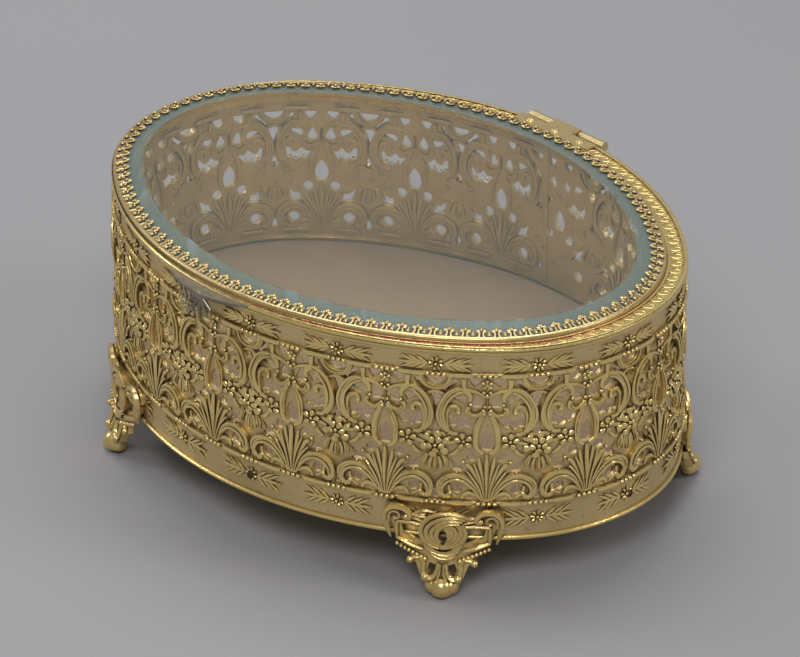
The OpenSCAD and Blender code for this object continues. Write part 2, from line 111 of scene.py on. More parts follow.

# %% [markdown]
# ## Finishes
# Old gilt brass is bright on every crest, with a few dull patches, and its hollows get painted
# shade from an ambient occlusion mask. A finish is written as plain sums on node outputs. One
# small class carries an output about and turns + - * into Math nodes, and one method makes
# every other node.

# %% Shader sums
class Value:
    """One output of a node. Sums on it add Math nodes."""

    def __init__(self, finish, socket):
        self.finish, self.socket = finish, socket

    def sum(self, operation, first, second):
        return self.finish.node("ShaderNodeMath", {"operation": operation, "use_clamp": False},
                                {0: first, 1: second})

    def __add__(self, other):
        return self.sum("ADD", self, other)

    def __sub__(self, other):
        return self.sum("SUBTRACT", self, other)

    def __rsub__(self, other):
        return self.sum("SUBTRACT", other, self)

    def __mul__(self, other):
        return self.sum("MULTIPLY", self, other)

    __radd__ = __add__
    __rmul__ = __mul__

    def between(self, low, high):
        """0 at low and 1 at high, with no more outside."""
        return self.finish.node("ShaderNodeMapRange", {"clamp": True},
                                {"Value": self, "From Min": low, "From Max": high})


class Finish:
    """One material on a Principled shader."""

    def __init__(self, name, **constants):
        self.material = bpy.data.materials.new(name)
        self.material.use_nodes = True
        self.tree = self.material.node_tree
        self.shader = self.tree.nodes["Principled BSDF"]
        for socket, value in constants.items():
            self.shader.inputs[socket.replace("_", " ")].default_value = value
        self.place = self.node("ShaderNodeTexCoord", out="Object")

    def node(self, kind, settings=None, values=None, out=0):
        new = self.tree.nodes.new(kind)
        for name, value in (settings or {}).items():
            setattr(new, name, value)
        for name, value in (values or {}).items():
            if isinstance(value, Value):
                self.tree.links.new(value.socket, new.inputs[name])
            else:
                new.inputs[name].default_value = value
        return Value(self, new.outputs[out])

    def noise(self, scale, detail=3.0):
        return self.node("ShaderNodeTexNoise", {}, {"Vector": self.place, "Scale": scale,
                                                   "Detail": detail}, out="Fac")

    def mix(self, amount, first, second):
        return self.node("ShaderNodeMix", {"data_type": "RGBA"},
                         {0: amount, 6: first, 7: second}, out=2)

    def crevice_shade(self, reach, low, high):
        """Painted shade from ambient occlusion: 1 down in a crevice and 0 in the open."""
        shade = self.node("ShaderNodeAmbientOcclusion", {"samples": 6}, {"Distance": reach},
                          out="AO")
        return 1 - shade.between(low, high)

    def bump(self, height, strength, distance):
        return self.node("ShaderNodeBump", {}, {"Height": height, "Strength": strength,
                                                "Distance": distance}, out="Normal")

    def set(self, **values):
        for socket, value in values.items():
            self.tree.links.new(value.socket, self.shader.inputs[socket.replace("_", " ")])
        return self.material


# %% Gilt metal
def gilt(name, gold, dark, rough, depth=0.0011, pits=0.2, worn=0.35):
    """Gilt brass: painted shade darkens its hollows, with cloudy duller patches and fine handling
    marks.
    """
    finish = Finish(name, Metallic=0.84)
    # An ambient occlusion mask of the crevices, used for painted shade and for rougher metal
    # there.
    crevice_shade = finish.crevice_shade(depth, 0.2, 0.8)
    clouds = finish.noise(55, 4.0).between(0.42, 0.68)
    specks = finish.noise(420, 2.0).between(0.6, 0.75)
    grain = finish.noise(1900, 2.0)
    colour = finish.mix(clouds * worn, gold, [c * 0.66 for c in gold[:3]] + [1])
    colour = finish.mix(specks * 0.35, colour, [0.30, 0.17, 0.055, 1])
    # Painted shade: the colour is pulled to a dark brown down in the crevices.
    colour = finish.mix(crevice_shade, colour, dark)
    return finish.set(Base_Color=colour, Roughness=crevice_shade * 0.3 + clouds * 0.1 + rough,
                      Normal=finish.bump(grain + finish.noise(300, 2.0), pits, 0.0004))


# The dark brown given to every gilt finish below is the colour of its painted shade in crevices.
GOLD, SHADE_BROWN = [0.95, 0.73, 0.30, 1], [0.10, 0.056, 0.018, 1]
relief_gold = gilt("gilt_relief", GOLD, SHADE_BROWN, 0.24, 0.0018)
wall_gold = gilt("gilt_wall", [0.74, 0.57, 0.28, 1], SHADE_BROWN, 0.34, 0.0022, pits=0.35, worn=0.5)
rim_gold = gilt("gilt_rim", [0.92, 0.71, 0.29, 1], SHADE_BROWN, 0.24, 0.0022)
foot_gold = gilt("gilt_cast", [0.84, 0.63, 0.26, 1], SHADE_BROWN, 0.25, 0.002)
crown_gold = gilt("gilt_crowns", [0.74, 0.57, 0.27, 1], SHADE_BROWN, 0.27, 0.002)
plain_brass = gilt("hinge_brass", [0.70, 0.55, 0.27, 1], SHADE_BROWN, 0.33, 0.002)
spray_gold = gilt("gilt_spray", [0.62, 0.54, 0.36, 1], SHADE_BROWN, 0.24, 0.002, worn=0.6)
print("gilt finishes", 7)


# %% Dark rivets, worn plate, card, fabric, red gasket and glass
def plain(name, first, second, rough, metal=0.0, scale=200.0, strength=0.2, depth=0.0003):
    """A finish of two tones clouded into each other."""
    finish = Finish(name, Metallic=metal)
    clouds = finish.noise(scale, 4.0).between(0.35, 0.65)
    return finish.set(Base_Color=finish.mix(clouds, first, second),
                      Roughness=clouds * 0.15 + rough,
                      Normal=finish.bump(finish.noise(scale * 8, 2.0), strength, depth))


rivet_dark = plain("dark_rivet", [0.05, 0.035, 0.03, 1], [0.11, 0.07, 0.045, 1], 0.5, 0.8)
plate_worn = plain("worn_plate", [0.42, 0.385, 0.30, 1], [0.25, 0.22, 0.15, 1], 0.3, 1.0, 260)
card = plain("card_board", [0.42, 0.31, 0.19, 1], [0.36, 0.26, 0.15, 1], 0.8, scale=300)
red = plain("red_gasket", [0.34, 0.03, 0.025, 1], [0.22, 0.02, 0.02, 1], 0.45, scale=500)


def cloth(name, first, second):
    """A plain taupe weave: two sets of threads, slightly uneven in colour."""
    finish = Finish(name, Roughness=0.9, Sheen_Weight=0.08, Sheen_Roughness=0.5)
    threads = []
    for direction in ("X", "Y"):
        threads.append(finish.node("ShaderNodeTexWave", {"bands_direction": direction},
                                   {"Vector": finish.place, "Scale": 330.0, "Distortion": 1.5,
                                    "Detail": 1.0, "Detail Scale": 2.0}, out="Fac"))
    weave = threads[0] * threads[1]
    clouds = finish.noise(90, 3.0).between(0.35, 0.7)
    colour = finish.mix(clouds * 0.5 + weave * 0.3, first, second)
    return finish.set(Base_Color=colour, Normal=finish.bump(weave, 0.35, 0.0003))


fabric = cloth("taupe_fabric", [0.25, 0.17, 0.105, 1], [0.205, 0.138, 0.085, 1])


def lid_glass(name):
    """Clear glass, blue-green between its two flat faces, that lets the lamps shine through."""
    finish = Finish(name, Roughness=0.02, IOR=1.46, Transmission_Weight=1.0)
    levels = [corner.co.z for corner in nodes["glass"].data.vertices]
    low, high = min(levels), max(levels)
    height = finish.node("ShaderNodeSeparateXYZ", {}, {0: finish.place}, out=2)
    flat = height.between(high - 0.00012, high - 0.00002) + 1 - height.between(
        low + 0.00002, low + 0.00012)
    smear = finish.noise(40, 3.0).between(0.5, 0.75)
    finish.set(Base_Color=finish.mix(flat, [0.56, 0.70, 0.68, 1], [1.0, 0.985, 0.96, 1]),
               Roughness=smear * 0.05 + 0.01)
    tree = finish.tree
    out = tree.nodes["Material Output"]
    ray = finish.node("ShaderNodeLightPath", out="Is Shadow Ray")
    clear = finish.node("ShaderNodeBsdfTransparent", {}, {"Color": [0.9, 0.93, 0.92, 1]})
    ground_edge = finish.node("ShaderNodeBsdfPrincipled", {}, {
        "Base Color": [0.20, 0.27, 0.25, 1], "Roughness": 0.12})
    bevel = tree.nodes.new("ShaderNodeMixShader")
    tree.links.new((0.6 - flat * 0.54).socket, bevel.inputs[0])
    tree.links.new(finish.shader.outputs[0], bevel.inputs[1])
    tree.links.new(ground_edge.socket, bevel.inputs[2])
    both = tree.nodes.new("ShaderNodeMixShader")
    tree.links.new(ray.socket, both.inputs[0])
    tree.links.new(bevel.outputs[0], both.inputs[1])
    tree.links.new(clear.socket, both.inputs[2])
    tree.links.new(both.outputs[0], out.inputs["Surface"])
    return finish.material


glass = lid_glass("lid_glass")
print("other finishes", 6)

# %% [markdown]
# ## The parts that stay as they are
# The plain solids are right in shape already, so each of them only gets its finish here.
# Further on, finer pieces stand in for the gallery, the gasket and the floor pad.

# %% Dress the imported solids
dress = {"filigree_wall": wall_gold, "lower_rim": rim_gold, "upper_rim": rim_gold,
         "base_plate": plain_brass, "base_rivets": rivet_dark, "floor_board": card,
         "floor_pad": fabric, "foot_front_left": foot_gold, "foot_front_right": foot_gold,
         "foot_rear_left": foot_gold, "foot_rear_right": foot_gold,
         "body_hinge_leaf": plain_brass, "body_leaf_rivets": plain_brass,
         "hinge_pin": plain_brass, "lid_frame": rim_gold, "gasket": red,
         "gallery": crown_gold, "glass": glass, "lid_hinge_leaf": plain_brass,
         "lid_leaf_rivets": plain_brass, "thumb_tab": plate_worn}
for name, finish in dress.items():
    nodes[name].data.materials.clear()
    nodes[name].data.materials.append(finish)
print("dressed", len(dress), "of", len(nodes))

# %% [markdown]
# ## Tools for chased ornament
# A chased scroll is a wire that swells and thins. It is laid as a curve through a few
# points, each with its own thickness, and turned into a mesh. Petals, leaves and beads are
# shaped once and copied. Everything is drawn in millimetres, flat, as a wall that faces
# the viewer: X along it, Z up it and -Y out of it.

# %% Selecting, copying and joining
def clear_selection():
    if bpy.context.object and bpy.context.object.mode != "OBJECT":
        bpy.ops.object.mode_set(mode="OBJECT")
    bpy.ops.object.select_all(action="DESELECT")


def pick(*things):
    clear_selection()
    for thing in things:
        thing.select_set(True)
    bpy.context.view_layer.objects.active = things[0]


def settle(*things):
    """Moves each object's place, turn and size into its mesh."""
    pick(*things)
    bpy.ops.object.transform_apply(location=True, rotation=True, scale=True)


def join(name, things):
    settle(*things)
    bpy.ops.object.join()
    whole = bpy.context.object
    whole.name = whole.data.name = name
    return whole


def again(template, at, turn=0.0, size=(1, 1, 1), tip=0.0):
    """A copy with its own mesh, turned in the plane of the wall and tipped out of it."""
    twin = template.copy()
    twin.data = template.data.copy()
    bpy.context.collection.objects.link(twin)
    twin.matrix_world = Matrix.Translation(at) @ Matrix.Rotation(turn, 4, "Y") @ \
        Matrix.Rotation(tip, 4, "X") @ Matrix.Diagonal((*size, 1))
    return twin


# %% Wires that swell and thin
def wires(name, strokes, flat=0.8, low=0.3, sides=1, steps=3):
    """Strokes are lists of (along, up, half width) or (along, up, half width, out)."""
    clear_selection()
    bpy.ops.curve.primitive_bezier_curve_add(location=(0, 0, 0))
    wire = bpy.context.object
    wire.name = name
    drawing = wire.data
    drawing.splines.clear()
    for stroke in strokes:
        line = drawing.splines.new("BEZIER")
        line.bezier_points.add(len(stroke) - 1)
        for point, (along, up, half, *out) in zip(line.bezier_points, stroke):
            point.co = (along, -(out[0] if out else low) / flat, up)
            point.radius = half
            point.handle_left_type = point.handle_right_type = "AUTO"
    drawing.dimensions, drawing.fill_mode = "3D", "FULL"
    drawing.bevel_depth, drawing.bevel_resolution = 1.0, sides
    drawing.resolution_u, drawing.use_fill_caps = steps, True
    pick(wire)
    bpy.ops.object.convert(target="MESH")
    mesh = bpy.context.object
    mesh.scale = (1, flat, 1)
    settle(mesh)
    return mesh


def mirrored(strokes, about=0.0):
    """The strokes and their mirror image."""
    return strokes + [[(2 * about - p[0], *p[1:]) for p in stroke] for stroke in strokes]


# %% Petal, leaf and bead
def shaped_ball(name, segments, rings, form):
    """A ball whose points are moved one by one to a petal's or leaf's form."""
    clear_selection()
    bpy.ops.mesh.primitive_uv_sphere_add(segments=segments, ring_count=rings, radius=1)
    ball = bpy.context.object
    ball.name = name
    for vertex in ball.data.vertices:
        vertex.co = form(*vertex.co)
    return ball


petal = shaped_ball("petal", 8, 5, lambda x, y, z: (
    x * (0.78 + 0.26 * z), y * 0.4 - 0.3 * z * z, 0.95 + z))
leaf = shaped_ball("leaf", 6, 6, lambda x, y, z: (
    x * (0.34 + 0.1 * z) * (1 - abs(z) * 0.3), y * 0.3 - 0.1 * z, 1 + z))
bead = shaped_ball("bead", 8, 5, lambda x, y, z: (x, y * 0.9 - 0.15 * (1 - z * z), z))
print("petal", len(petal.data.vertices), "leaf", len(leaf.data.vertices))


def ring_of(template, middle, count, distance, size, start=0.0, tip=0.0, out=0.3):
    """Copies set round a middle, each pointing away from it."""
    made = []
    for step in range(count):
        turn = start + step * 2 * math.pi / count
        at = (middle[0] + distance * math.sin(turn), -out, middle[1] + distance * math.cos(turn))
        made.append(again(template, at, turn, size, tip))
    return made


# %% [markdown]
# ## One panel of the wall
# The strip was stamped from a die that repeats every 28 mm: a palmette under an almond
# window, scrolls on both sides, small roses, and a large rose on the line to the next
# palmette. One panel is drawn with 102 strokes and 89 petals, leaves and beads.
# Drawing it once and bending copies of it round the oval is how the die worked too.

# %% Scrolls of the panel
palmette = mirrored([
    [(0.4, 11.2, 0.3), (0.9, 16.5, 0.5), (1.8, 21.8, 0.55), (2.1, 24.0, 0.35)],
    [(0.7, 11.2, 0.3), (1.9, 15.8, 0.5), (3.6, 19.6, 0.6), (4.8, 21.5, 0.6), (5.6, 21.7, 0.5)],
    [(1.0, 11.2, 0.3), (2.6, 14.5, 0.5), (4.4, 17.0, 0.6), (5.8, 18.2, 0.6), (6.6, 18.3, 0.5)],
    [(0.5, 11.4, 0.2, 0.8), (1.4, 16.2, 0.3, 1.0), (2.6, 20.2, 0.35, 0.9), (3.4, 22.2, 0.25, 0.6)],
    [(0.9, 11.4, 0.2, 0.8), (2.2, 15.2, 0.3, 1.0), (4.1, 18.5, 0.35, 0.9), (5.2, 19.8, 0.25, 0.6)],
]) + [[(0, 11.2, 0.35, 0.4), (0, 17, 0.6, 0.7), (0, 22.5, 0.65, 0.7), (0, 25.2, 0.4, 0.4)],
      [(-1.7, 11.2, 0.5), (0, 11.0, 0.6), (1.7, 11.2, 0.5)]]
lower_scroll = mirrored([
    [(1.5, 11.5, 0.5), (3.7, 15.4, 0.9), (6.9, 18.0, 1.05), (10.1, 17.8, 1.15),
     (12.3, 15.6, 1.15), (12.4, 13.2, 0.95), (11.1, 11.7, 0.8), (9.9, 12.5, 0.8)],
    [(2.0, 12.2, 0.25, 0.9), (4.0, 15.3, 0.35, 1.2), (7.1, 17.4, 0.4, 1.3),
     (9.8, 17.1, 0.4, 1.35), (11.6, 15.2, 0.4, 1.3), (11.8, 13.4, 0.3, 1.1)],
    [(2.4, 13.9, 0.25, 0.8), (4.2, 16.8, 0.35, 1.0), (7.1, 18.7, 0.4, 1.1),
     (10.3, 18.6, 0.4, 1.15), (12.9, 16.2, 0.4, 1.15), (13.0, 13.6, 0.3, 0.9)],
    [(1.4, 11.4, 0.4), (3.3, 12.7, 0.6), (5.0, 13.1, 0.7), (6.2, 12.2, 0.5), (6.6, 11.3, 0.3)],
    [(7.7, 11.8, 0.35), (9.7, 13.2, 0.45), (10.1, 15.4, 0.35)],
])
arms = mirrored([
    [(0.5, 38.6, 0.45), (1.7, 36.0, 0.7), (2.7, 33.0, 0.85), (3.0, 29.4, 0.8),
     (2.5, 26.6, 0.65), (0.9, 25.4, 0.5)],
    [(1.0, 37.2, 0.2, 0.8), (2.2, 34.4, 0.35, 1.0), (3.0, 31.0, 0.35, 1.05),
     (2.7, 27.8, 0.25, 0.8)],
    [(0, 42.8, 0.3), (0, 40.4, 0.4), (0, 39.2, 0.5)],
])
print("strokes", len(palmette) + len(lower_scroll) + len(arms))

# %% Upper scrolls, posts, arches, stems
upper_scroll = mirrored([
    [(6.3, 44.9, 0.7), (8.2, 44.5, 1.05), (10.0, 43.2, 1.05), (11.4, 41.2, 1.05),
     (12.3, 38.6, 1.25), (12.4, 36.4, 1.3), (11.7, 33.9, 1.2), (10.4, 31.9, 0.8)],
    [(6.4, 45.2, 0.3, 0.9), (8.6, 45.1, 0.4, 1.1), (10.6, 43.8, 0.4, 1.2), (12.0, 41.6, 0.4, 1.3),
     (13.1, 38.4, 0.4, 1.35), (13.1, 36.3, 0.4, 1.3), (12.3, 33.6, 0.3, 1.0)],
    [(6.6, 44.2, 0.25, 0.9), (8.0, 43.9, 0.35, 1.2), (9.4, 42.7, 0.4, 1.3),
     (10.7, 40.8, 0.4, 1.35),
     (11.5, 38.4, 0.4, 1.4), (11.5, 36.2, 0.4, 1.35), (10.9, 33.8, 0.3, 1.0)],
    [(0.4, 42.6, 0.3), (2.2, 43.9, 0.4), (4.4, 44.5, 0.55), (6.6, 44.9, 0.7)],
    [(6.6, 44.6, 0.7), (5.0, 43.7, 0.8), (4.5, 42.4, 0.6), (4.6, 41.2, 0.45)],
    [(10.5, 33.0, 0.45), (11.0, 36.2, 0.6), (10.1, 39.0, 0.75), (8.5, 39.5, 0.7),
     (7.6, 38.6, 0.6), (7.9, 37.4, 0.65)],
    [(0.9, 38.4, 0.5), (2.6, 37.1, 0.65), (4.5, 37.3, 0.75), (5.3, 38.5, 0.7), (4.8, 39.7, 0.6)],
    [(1.2, 38.7, 0.2, 0.9), (2.8, 37.5, 0.3, 1.0), (4.3, 37.7, 0.3, 1.0), (4.8, 38.6, 0.25, 0.9)],
    [(10.3, 31.7, 0.7), (9.0, 31.2, 0.6), (7.8, 31.2, 0.45)],
    [(6.3, 44.6, 0.75), (6.2, 46.4, 0.6), (6.3, 48.2, 0.8)],
])
between = mirrored([
    [(9.8, 48.9, 0.7), (10.35, 46.9, 0.8), (11.6, 45.5, 0.8), (13.85, 44.9, 0.8)],
    [(9.9, 48.9, 0.3, 1.0), (10.5, 47.0, 0.35, 1.1), (11.7, 45.7, 0.35, 1.1),
     (13.85, 45.1, 0.35, 1.1)],
    [(13.85, 44.0, 0.5), (12.6, 43.6, 0.42), (11.4, 42.9, 0.4)],
], 13.85) + mirrored([
    [(8.3, 28.7, 0.5), (9.7, 28.4, 0.6), (10.8, 28.0, 0.5)],
    [(7.6, 26.6, 0.45), (8.7, 25.2, 0.6), (9.9, 24.6, 0.4)],
    [(12.8, 31.0, 0.4), (11.9, 31.2, 0.5), (11.2, 30.4, 0.4)],
    [(9.9, 30.4, 0.4), (10.3, 29.6, 0.5), (11.2, 29.2, 0.4)],
    [(11.8, 24.6, 0.5), (10.9, 22.6, 0.8), (10.8, 20.6, 0.35)],
    [(11.6, 24.2, 0.2, 0.8), (10.9, 22.4, 0.35, 1.1), (10.9, 20.9, 0.2, 0.6)],
], 13.85) + [[(13.85, 24.0, 0.6), (13.85, 21.4, 0.95), (13.85, 19.3, 0.35)],
             [(13.85, 23.8, 0.2, 0.9), (13.85, 21.2, 0.35, 1.2), (13.85, 19.6, 0.2, 0.6)],
             [(13.0, 23.9, 0.4), (12.4, 22.0, 0.6), (12.4, 20.2, 0.3)],
             [(14.7, 23.9, 0.4), (15.3, 22.0, 0.6), (15.3, 20.2, 0.3)]]
print("strokes", len(upper_scroll) + len(between))

# %% Bars and sprays of the two borders
bars = mirrored([[(3.6, height, 0.35, 0.6), (4.3, height, 0.7, 0.7), (7.6, height, 0.75, 0.75),
                  (10.5, height, 0.7, 0.7), (11.2, height, 0.35, 0.6)]
                 for height in (10, 49.2)])


def spray(middle, height, tall):
    """Leaves that fan away to the left from a border flower, and the same to the right."""
    near, far = middle - 2.2, middle - 10.2
    fan = [[(near, height, 0.3), (near - 3, height, 0.55), (near - 6, height - 0.1, 0.5),
            (far, height, 0.15)]]
    for side in (-1, 1):
        for root, tip, width in ((0.3, 3.2, 0.5), (1.8, 5.6, 0.5), (3.6, 7.4, 0.45)):
            fan.append([(near - root, height + side * 0.2, 0.25),
                        (near - (root + tip) / 2, height + side * tall * 0.55, width),
                        (near - tip, height + side * tall, 0.12)])
    return mirrored(fan, middle)


borders = bars + spray(13.85, 5.3, 2.5) + spray(13.85, 52.1, 1.9)
print("strokes", len(borders))

# %% Roses, bud, border flowers and beads
flowers = []
for side in (-1, 1):
    flowers += ring_of(petal, (side * 6.2, 29.0), 5, 0.75, (1.05, 1.3, 0.95), side * 0.2, out=0.45)
    flowers.append(again(bead, (side * 6.2, -0.55, 29.0), 0, (0.5, 0.5, 0.5)))
    for along, up, size in ((5.5, 33.5, 0.42), (7.5, 32.9, 0.4), (4.4, 40.2, 0.6),
                            (7.6, 37.6, 0.62), (9.8, 12.9, 0.85), (1.0, 38.5, 0.6),
                            (0.6, 39.7, 0.5), (0.7, 37.4, 0.5), (0.9, 44.0, 0.55),
                            (9.0, 33.4, 0.42), (6.3, 22.6, 0.5), (8.0, 19.3, 0.5)):
        flowers.append(again(bead, (side * along, -0.35, up), 0, (size, size * 0.9, size)))
flowers += ring_of(petal, (13.85, 27.6), 6, 2.0, (1.6, 1.5, 1.15), 0.2, tip=-0.1, out=0.4)
flowers += ring_of(petal, (13.85, 27.6), 5, 0.75, (1.3, 1.4, 0.95), 0.6, tip=-0.3, out=0.9)
flowers.append(again(bead, (13.85, -1.1, 27.6), 0, (0.6, 0.6, 0.6)))
flowers += ring_of(petal, (0, 46.4), 5, 0.35, (0.7, 0.9, 0.65), 0.0, out=0.35)
flowers += [again(bead, (0, -0.8, 46.4), 0, (0.5, 0.5, 0.5)),
            again(bead, (0, -0.5, 43.1), 0, (0.55, 0.6, 0.7))]
for middle in (5.3, 52.1):
    flowers += ring_of(leaf, (13.85, middle), 8, 0.45, (1.2, 1.5, 0.85), 0.2, out=0.35)
    flowers += [again(bead, (13.85, -0.6, middle), 0, (0.5, 0.5, 0.5))]
for height in (10, 49.2):
    for middle in (0, 13.85):
        for step in (-1.5, -0.5, 0.5, 1.5):
            flowers.append(again(bead, (middle + step * 1.5, -0.75, height), 0,
                                 (0.72, 0.75, 0.72)))
print("flowers and beads", len(flowers))

# %% One flat panel
scrolls = wires("scrolls", palmette + lower_scroll + arms + upper_scroll + between + borders)
soft_scrolls = again(scrolls, (0, 0, 0))
panel = join("panel", [scrolls] + flowers)
print("panel triangles", sum(len(f.vertices) - 2 for f in panel.data.polygons))


# %% [markdown]
# ## Bending the panels round the wall
# Each copy of the panel is bent round the oval. The strip was cut where its ends meet at
# the back, so the two copies beside that seam are cut through too.

# %% Cut and bend
def cut(piece, along, keep):
    """Cuts a piece across at a place and keeps what lies left (-1) or right (1) of it."""
    pick(piece)
    bpy.ops.object.mode_set(mode="EDIT")
    bpy.ops.mesh.select_all(action="SELECT")
    bpy.ops.mesh.bisect(plane_co=(along, 0, 0), plane_no=(1, 0, 0), use_fill=True,
                        clear_outer=keep < 0, clear_inner=keep > 0)
    bpy.ops.object.mode_set(mode="OBJECT")


def corners(piece):
    flat = np.empty(len(piece.data.vertices) * 3)
    piece.data.vertices.foreach_get("co", flat)
    return flat.reshape(-1, 3)


def put_corners(piece, places):
    """Writes places in millimetres into the mesh, in metres."""
    piece.data.vertices.foreach_set("co", (places / 1000).ravel())
    piece.data.update()


def finish_piece(piece, body, material, smooth=50):
    """Gives a piece its finish, its smooth shading and the body that it rides on."""
    piece.data.materials.clear()
    piece.data.materials.append(material)
    pick(piece)
    bpy.ops.object.shade_smooth_by_angle(angle=math.radians(smooth))
    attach(piece, body)
    print(piece.name, "triangles", sum(len(f.vertices) - 2 for f in piece.data.polygons))
    return piece


halves = [[], []]
for step in range(-1, PANELS):
    twin = again(panel, (0, 0, 0))
    middle = LEAD + step * PITCH
    if step == -1:
        cut(twin, -middle + 0.2, 1)
    if step == PANELS - 1:
        cut(twin, TAIL - 0.2, -1)
    places = corners(twin)
    put_corners(twin, on_oval(SEAM + middle + places[:, 0], -places[:, 1],
                              WALL_BASE + places[:, 2]))
    halves[step >= 8].append(twin)
for name, half in zip(("wall_relief_left", "wall_relief_right"), halves):
    finish_piece(join(name, half), "box", relief_gold)

# %% The same drawing seen from inside
# Stamped metal shows its scrolls on the back too, softer. The wires alone are bent round
# the inner face and pressed flatter.
INNER_DEPTH = 0.55
inner = [[], []]
for step in range(PANELS - 1):
    twin = again(soft_scrolls, (0, 0, 0))
    places = corners(twin)
    middle = LEAD + step * PITCH
    put_corners(twin, on_oval(SEAM + middle + places[:, 0],
                              places[:, 1] * INNER_DEPTH - WALL_THICK,
                              WALL_BASE + places[:, 2]))
    inner[step >= 8].append(twin)
for name, half in zip(("wall_inner_left", "wall_inner_right"), inner):
    piece = join(name, half)
    bpy.ops.object.mode_set(mode="EDIT")
    bpy.ops.mesh.select_all(action="SELECT")
    bpy.ops.mesh.flip_normals()
    bpy.ops.object.mode_set(mode="OBJECT")
    finish_piece(piece, "box", wall_gold)

# %% The lap where the strip's ends meet
LAP_WIDE, LAP_THICK, LAP_SHORT, LAP_OUT = 1.8, 0.34, 1.2, 0.12
clear_selection()
bpy.ops.mesh.primitive_cube_add(size=1)
lap = bpy.context.object
lap.scale = (LAP_WIDE, LAP_THICK, WALL_HEIGHT - LAP_SHORT)
settle(lap)
pick(lap)
bpy.ops.object.mode_set(mode="EDIT")
bpy.ops.mesh.select_all(action="SELECT")
bpy.ops.mesh.bevel(offset=0.08, segments=2)
bpy.ops.object.mode_set(mode="OBJECT")
twin = again(lap, (0, 0, 0))
for piece, out, name in ((lap, LAP_OUT, "seam_lap"),
                         (twin, -WALL_THICK - LAP_OUT, "seam_lap_inside")):
    places = corners(piece)
    piece.name = piece.data.name = name
    put_corners(piece, on_oval(SEAM + places[:, 0], out - places[:, 1],
                               WALL_BASE + WALL_HEIGHT / 2 + places[:, 2]))
    finish_piece(piece, "box", wall_gold)

# %% Dark rivet heads in the lower border
RIVET_FACES, RIVET_UP = (0, 84, 180, 276), 5
HEAD_RADIUS, HEAD_OUT = 1.15, 0.35


def stud_place(face, out, height):
    """The wall's surface where it faces a direction in degrees."""
    turn = math.radians(face)
    along, across = math.cos(turn), math.sin(turn)
    if abs(along) > math.cos(JOIN):
        centre, reach = (math.copysign(END_CENTRE, along), 0), END_RADIUS + out
    else:
        centre, reach = (0, -math.copysign(SIDE_CENTRE, across)), SIDE_RADIUS + out
    return np.array([centre[0] + reach * along, centre[1] + reach * across, height])


heads = []
for face in RIVET_FACES:
    head = again(bead, (0, 0, 0))
    put_corners(head, corners(head) * HEAD_RADIUS
                + stud_place(face, HEAD_OUT, WALL_BASE + RIVET_UP))
    heads.append(head)
finish_piece(join("base_rivet_heads", heads), "box", rivet_dark)

# %% [markdown]
# ## The feet
# Each foot is cast in one piece with two volutes at its shoulders, a knot of reeded
# strands in the middle, framed openings, rows of beads and a reeded toe. The solid foot
# has the outline and the openings, so only the reeds, scrolls and beads are laid on it.

# %% The surface of a foot
FOOT_FACES = {"foot_front_left": 241, "foot_front_right": -53, "foot_rear_left": 119,
              "foot_rear_right": 53}


def foot_out(height):
    """How far the foot's front stands out of the wall line at a height."""
    return 1.9 + np.clip(15.2 - height, 0, 12) / 12 * 3.6


def on_foot(face, along, out, height):
    turn = math.radians(face) + along / SIDE_RADIUS
    reach = SIDE_RADIUS + foot_out(height) + out
    low = -math.copysign(SIDE_CENTRE, math.sin(math.radians(face)))
    return np.stack([reach * np.cos(turn), low + reach * np.sin(turn), height], axis=1)


# %% Strands, frames and volutes of a foot
over = [[(7.4, 23.6), (5.0, 24.6), (2.2, 25.1), (-1.2, 24.7), (-3.9, 23.3), (-5.6, 20.6),
         (-5.6, 17.8), (-3.9, 15.6), (-0.9, 14.4)],
        [(6.0, 23.3), (3.6, 23.9), (0.8, 23.7), (-1.9, 22.6), (-4.0, 20.5), (-4.3, 18.0),
         (-3.0, 16.1), (-0.8, 15.0)],
        [(5.2, 22.7), (2.6, 22.9), (0.2, 22.3), (-1.8, 20.9), (-3.0, 18.9), (-2.5, 16.9),
         (-0.6, 15.6)],
        [(4.4, 22.0), (1.8, 21.9), (0.0, 21.1), (-1.5, 19.2), (-1.6, 17.4), (-0.5, 16.2)]]
under = [[(5.0, 21.7), (5.9, 19.8), (5.7, 17.4), (3.9, 15.4), (1.0, 14.3)],
         [(3.9, 21.3), (4.7, 19.6), (4.4, 17.4), (2.8, 15.7), (0.8, 14.9)],
         [(2.8, 21.0), (3.5, 19.3), (3.2, 17.2), (1.9, 16.0), (0.6, 15.4)],
         [(1.7, 20.6), (2.3, 19.1), (2.0, 17.2), (0.9, 16.2)]]
crescent = [[(-3.9, 13.6), (-1.6, 12.7), (0.5, 12.4), (2.8, 12.8), (4.6, 13.8)],
            [(-2.8, 12.4), (-1.2, 11.7), (0.4, 11.5), (2.2, 11.8), (3.6, 12.5)]]
behind = [[(-8.2, 23.2), (-6.6, 24.8), (-4.4, 25.2), (-2.0, 24.9)],
          [(-8.0, 22.3), (-6.4, 23.6), (-4.6, 24.1)]]
strands = []
for lines, half, out in ((over, 0.68, 1.5), (under, 0.66, 1.0), (crescent, 0.6, 0.8),
                         (behind, 0.6, 0.7)):
    for line in lines:
        last = len(line) - 1
        strands.append([(along, up, half * (0.45 if step in (0, last) else 1), out)
                        for step, (along, up) in enumerate(line)])
